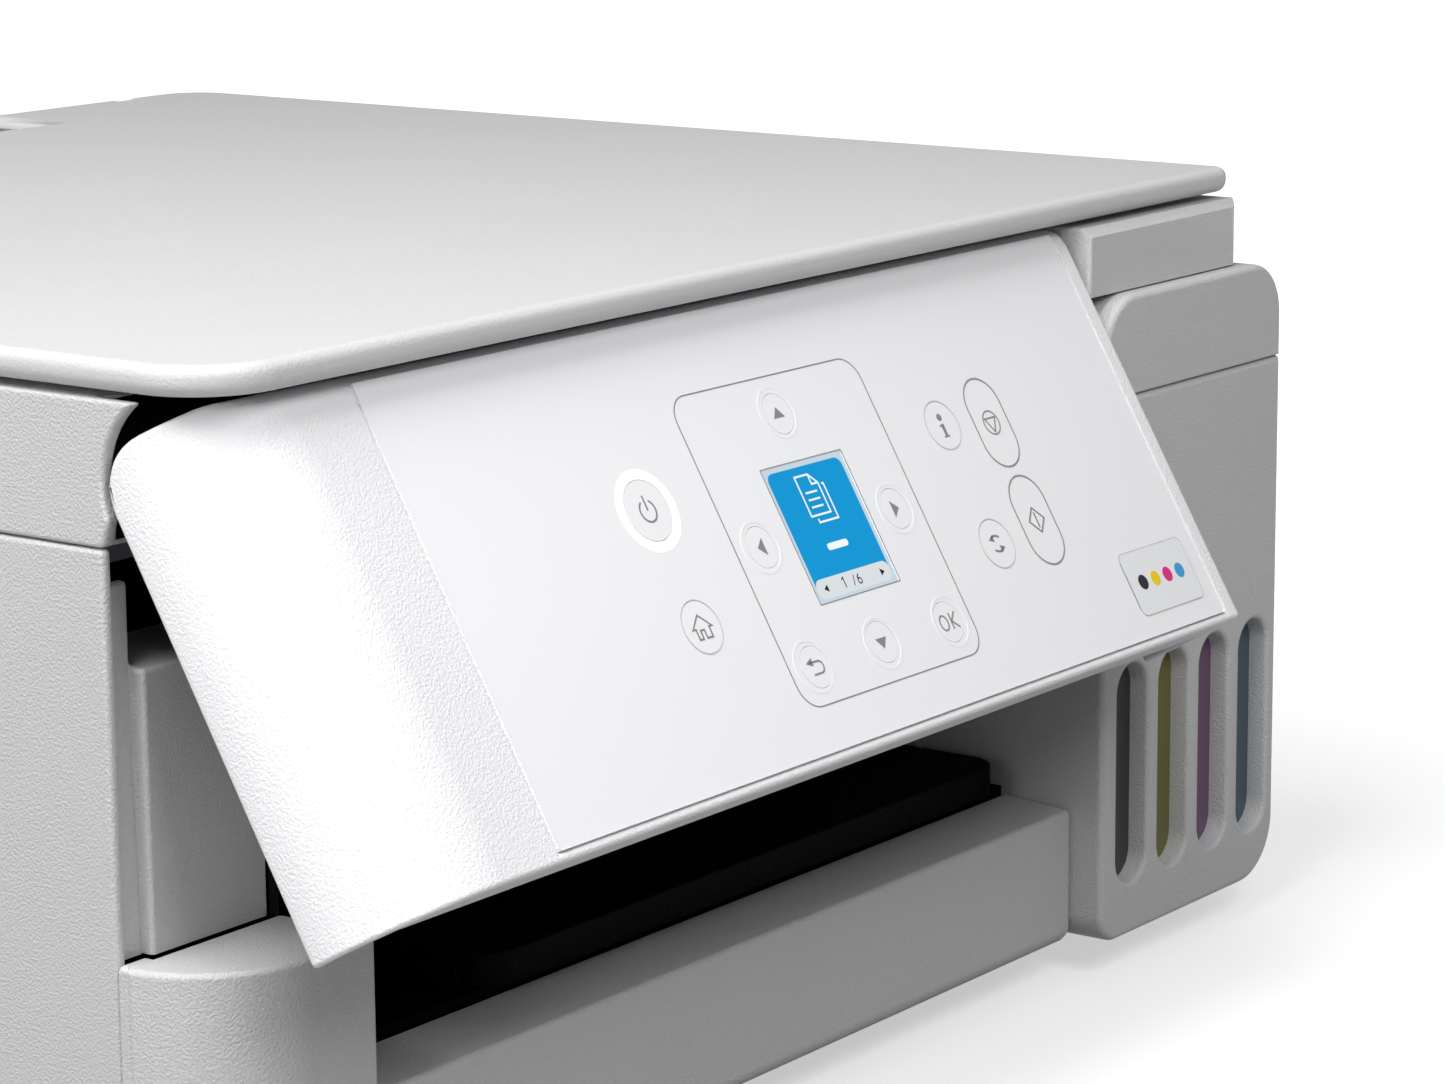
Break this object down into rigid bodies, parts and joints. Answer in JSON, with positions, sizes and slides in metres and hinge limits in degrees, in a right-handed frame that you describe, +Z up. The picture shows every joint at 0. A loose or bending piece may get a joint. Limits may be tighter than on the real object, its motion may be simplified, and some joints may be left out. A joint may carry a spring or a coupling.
{
  "type": "inkjet printer",
  "caption": "Low white box-shaped inkjet printer with a flatbed scanner, a tilting control panel with a small colour display, a front paper outlet and a side ink tank unit.",
  "frame": {"origin": "on the table under the middle of the machine's box, the tilted control panel included", "axes": "+X to the right as seen from the front, +Y to the back, +Z up"},
  "size_m": [0.375, 0.385, 0.187],
  "materials": {
    "case_plastic": "fine-grained light grey-white ABS",
    "white_plastic": "smooth white ABS",
    "front_sheet": "smooth white printed film",
    "key_plastic": "smooth white key caps",
    "black_plastic": "fine-grained black ABS",
    "dark_plastic": "dark grey ABS",
    "steel": "zinc-plated sheet steel",
    "rubber": "soft rubber",
    "roller_rubber": "ground rubber roller",
    "clear_tank": "clear polypropylene",
    "ink_black": "black ink",
    "ink_yellow": "dark yellow ink seen through the tank",
    "ink_magenta": "dark magenta ink seen through the tank",
    "ink_cyan": "dark cyan ink seen through the tank",
    "cap_black": "black cap",
    "cap_yellow": "yellow cap",
    "cap_magenta": "magenta cap",
    "cap_cyan": "cyan cap",
    "glass": "float glass",
    "display": "lit colour display",
    "circuit_board": "green solder mask",
    "tube": "translucent tube"
  },
  "bodies": {
    "case": {"base_pan": "dark_plastic", "feet": "rubber", "lower_case": "case_plastic", "front_cover": "case_plastic", "front_frame": "black_plastic", "main_frame": "steel", "carriage_rail": "steel", "carriage_belt": "rubber", "belt_motor": "steel", "platen": "dark_plastic", "main_board": "circuit_board", "power_supply": "black_plastic", "power_inlet": "black_plastic", "tank_housing": "case_plastic", "ink_tanks": "clear_tank", "ink_black": "ink_black", "ink_yellow": "ink_yellow", "ink_magenta": "ink_magenta", "ink_cyan": "ink_cyan", "ink_tubes": "tube"},
    "tank_cover": {"tank_cover": "case_plastic"},
    "carriage": {"print_carriage": "dark_plastic", "print_head": "steel"},
    "pulley": {"drive_pulley": "white_plastic"},
    "feed_roller": {"feed_roller": "roller_rubber"},
    "eject_roller": {"eject_roller": "roller_rubber"},
    "tray": {"output_tray": "black_plastic"},
    "tray_extension": {"tray_extension": "black_plastic"},
    "tray_stopper": {"tray_stopper": "black_plastic"},
    "paper_support": {"paper_support": "case_plastic"},
    "support_extension": {"support_extension": "case_plastic"},
    "feeder_guard": {"feeder_guard": "case_plastic"},
    "edge_guide_left": {"edge_guide_left": "dark_plastic"},
    "edge_guide_right": {"edge_guide_right": "dark_plastic"},
    "scanner": {"scanner_case": "case_plastic", "scanner_bezel": "case_plastic", "scanner_glass": "glass"},
    "scan_head": {"scan_head": "black_plastic"},
    "lid": {"scanner_lid": "case_plastic", "lid_mat": "white_plastic"},
    "panel": {"panel_shell": "white_plastic", "panel_sheet": "front_sheet", "display": "display", "key_board": "circuit_board"},
    "cap_black": {"cap_black": "cap_black"},
    "cap_yellow": {"cap_yellow": "cap_yellow"},
    "cap_magenta": {"cap_magenta": "cap_magenta"},
    "cap_cyan": {"cap_cyan": "cap_cyan"},
    "key_power": {"key_power": "key_plastic"},
    "key_home": {"key_home": "key_plastic"},
    "key_up": {"key_up": "key_plastic"},
    "key_down": {"key_down": "key_plastic"},
    "key_left": {"key_left": "key_plastic"},
    "key_right": {"key_right": "key_plastic"},
    "key_ok": {"key_ok": "key_plastic"},
    "key_back": {"key_back": "key_plastic"},
    "key_info": {"key_info": "key_plastic"},
    "key_reset": {"key_reset": "key_plastic"},
    "key_stop": {"key_stop": "key_plastic"},
    "key_start": {"key_start": "key_plastic"}
  },
  "joints": [
    {"name": "scanner_lift", "type": "hinge", "parent": "case", "child": "scanner", "pos_m": [0, 0.1809, 0.1636], "axis": [-1, 0, 0], "range_deg": [0, 16]},
    {"name": "lid_hinge", "type": "hinge", "parent": "scanner", "child": "lid", "pos_m": [0, 0.1895, 0.184], "axis": [-1, 0, 0], "range_deg": [0, 50]},
    {"name": "scan_head_slide", "type": "slide", "parent": "scanner", "child": "scan_head", "axis": [1, 0, 0], "range_m": [0, 0.276]},
    {"name": "panel_hinge", "type": "hinge", "parent": "case", "child": "panel", "pos_m": [0, -0.1395, 0.164], "axis": [-1, 0, 0], "range_deg": [-30, 15]},
    {"name": "tank_cover_hinge", "type": "hinge", "parent": "case", "child": "tank_cover", "pos_m": [0, -0.0071, 0.16], "axis": [-1, 0, 0], "range_deg": [0, 32.1]},
    {"name": "cap_black_hinge", "type": "hinge", "parent": "case", "child": "cap_black", "pos_m": [0.1193, -0.1105, 0.1336], "axis": [-1, 0, 0], "range_deg": [0, 100]},
    {"name": "cap_yellow_hinge", "type": "hinge", "parent": "case", "child": "cap_yellow", "pos_m": [0.1383, -0.1105, 0.1336], "axis": [-1, 0, 0], "range_deg": [0, 100]},
    {"name": "cap_magenta_hinge", "type": "hinge", "parent": "case", "child": "cap_magenta", "pos_m": [0.1573, -0.1105, 0.1336], "axis": [-1, 0, 0], "range_deg": [0, 100]},
    {"name": "cap_cyan_hinge", "type": "hinge", "parent": "case", "child": "cap_cyan", "pos_m": [0.1763, -0.1105, 0.1336], "axis": [-1, 0, 0], "range_deg": [0, 100]},
    {"name": "carriage_slide", "type": "slide", "parent": "case", "child": "carriage", "axis": [-1, 0, 0], "range_m": [0, 0.18]},
    {"name": "pulley_spin", "type": "hinge", "parent": "case", "child": "pulley", "pos_m": [-0.136, 0.0575, 0.128], "axis": [0, 1, 0], "range_deg": [-1800, 1800]},
    {"name": "feed_spin", "type": "hinge", "parent": "case", "child": "feed_roller", "pos_m": [0, 0.0515, 0.0675], "axis": [1, 0, 0], "continuous": true},
    {"name": "eject_spin", "type": "hinge", "parent": "case", "child": "eject_roller", "pos_m": [0, 0.0055, 0.055], "axis": [1, 0, 0], "continuous": true},
    {"name": "tray_slide", "type": "slide", "parent": "case", "child": "tray", "axis": [0, -1, 0], "range_m": [0, 0.095]},
    {"name": "tray_extension_slide", "type": "slide", "parent": "tray", "child": "tray_extension", "axis": [0, -1, 0], "range_m": [0, 0.085]},
    {"name": "tray_stopper_hinge", "type": "hinge", "parent": "tray_extension", "child": "tray_stopper", "pos_m": [0, -0.1245, 0.0508], "axis": [1, 0, 0], "range_deg": [0, 90]},
    {"name": "paper_support_slide", "type": "slide", "parent": "case", "child": "paper_support", "axis": [0, 0.1392, 0.9903], "range_m": [0, 0.08]},
    {"name": "support_extension_slide", "type": "slide", "parent": "paper_support", "child": "support_extension", "axis": [0, 0.1392, 0.9903], "range_m": [0, 0.075]},
    {"name": "feeder_guard_hinge", "type": "hinge", "parent": "case", "child": "feeder_guard", "pos_m": [0, 0.1732, 0.1812], "axis": [1, 0, 0], "range_deg": [0, 95]},
    {"name": "edge_guide_left_slide", "type": "slide", "parent": "case", "child": "edge_guide_left", "axis": [1, 0, 0], "range_m": [0, 0.05]},
    {"name": "edge_guide_right_slide", "type": "slide", "parent": "case", "child": "edge_guide_right", "axis": [-1, 0, 0], "range_m": [0, 0.05]},
    {"name": "key_power_press", "type": "slide", "parent": "panel", "child": "key_power", "axis": [0, 0.866, -0.5], "range_m": [0, 0.0004], "stiffness_N_per_m": 400},
    {"name": "key_home_press", "type": "slide", "parent": "panel", "child": "key_home", "axis": [0, 0.866, -0.5], "range_m": [0, 0.0004], "stiffness_N_per_m": 400},
    {"name": "key_up_press", "type": "slide", "parent": "panel", "child": "key_up", "axis": [0, 0.866, -0.5], "range_m": [0, 0.0004], "stiffness_N_per_m": 400},
    {"name": "key_down_press", "type": "slide", "parent": "panel", "child": "key_down", "axis": [0, 0.866, -0.5], "range_m": [0, 0.0004], "stiffness_N_per_m": 400},
    {"name": "key_left_press", "type": "slide", "parent": "panel", "child": "key_left", "axis": [0, 0.866, -0.5], "range_m": [0, 0.0004], "stiffness_N_per_m": 400},
    {"name": "key_right_press", "type": "slide", "parent": "panel", "child": "key_right", "axis": [0, 0.866, -0.5], "range_m": [0, 0.0004], "stiffness_N_per_m": 400},
    {"name": "key_ok_press", "type": "slide", "parent": "panel", "child": "key_ok", "axis": [0, 0.866, -0.5], "range_m": [0, 0.0004], "stiffness_N_per_m": 400},
    {"name": "key_back_press", "type": "slide", "parent": "panel", "child": "key_back", "axis": [0, 0.866, -0.5], "range_m": [0, 0.0004], "stiffness_N_per_m": 400},
    {"name": "key_info_press", "type": "slide", "parent": "panel", "child": "key_info", "axis": [0, 0.866, -0.5], "range_m": [0, 0.0004], "stiffness_N_per_m": 400},
    {"name": "key_reset_press", "type": "slide", "parent": "panel", "child": "key_reset", "axis": [0, 0.866, -0.5], "range_m": [0, 0.0004], "stiffness_N_per_m": 400},
    {"name": "key_stop_press", "type": "slide", "parent": "panel", "child": "key_stop", "axis": [0, 0.866, -0.5], "range_m": [0, 0.0004], "stiffness_N_per_m": 400},
    {"name": "key_start_press", "type": "slide", "parent": "panel", "child": "key_start", "axis": [0, 0.866, -0.5], "range_m": [0, 0.0004], "stiffness_N_per_m": 400}
  ],
  "couplings": [
    {"joint": "tank_cover_hinge", "follows": "scanner_lift", "ratio": 2},
    {"joint": "pulley_spin", "follows": "carriage_slide", "rad_per_m": 166.67},
    {"joint": "eject_spin", "follows": "feed_spin", "ratio": -1},
    {"joint": "edge_guide_right_slide", "follows": "edge_guide_left_slide", "ratio": 1}
  ]
}
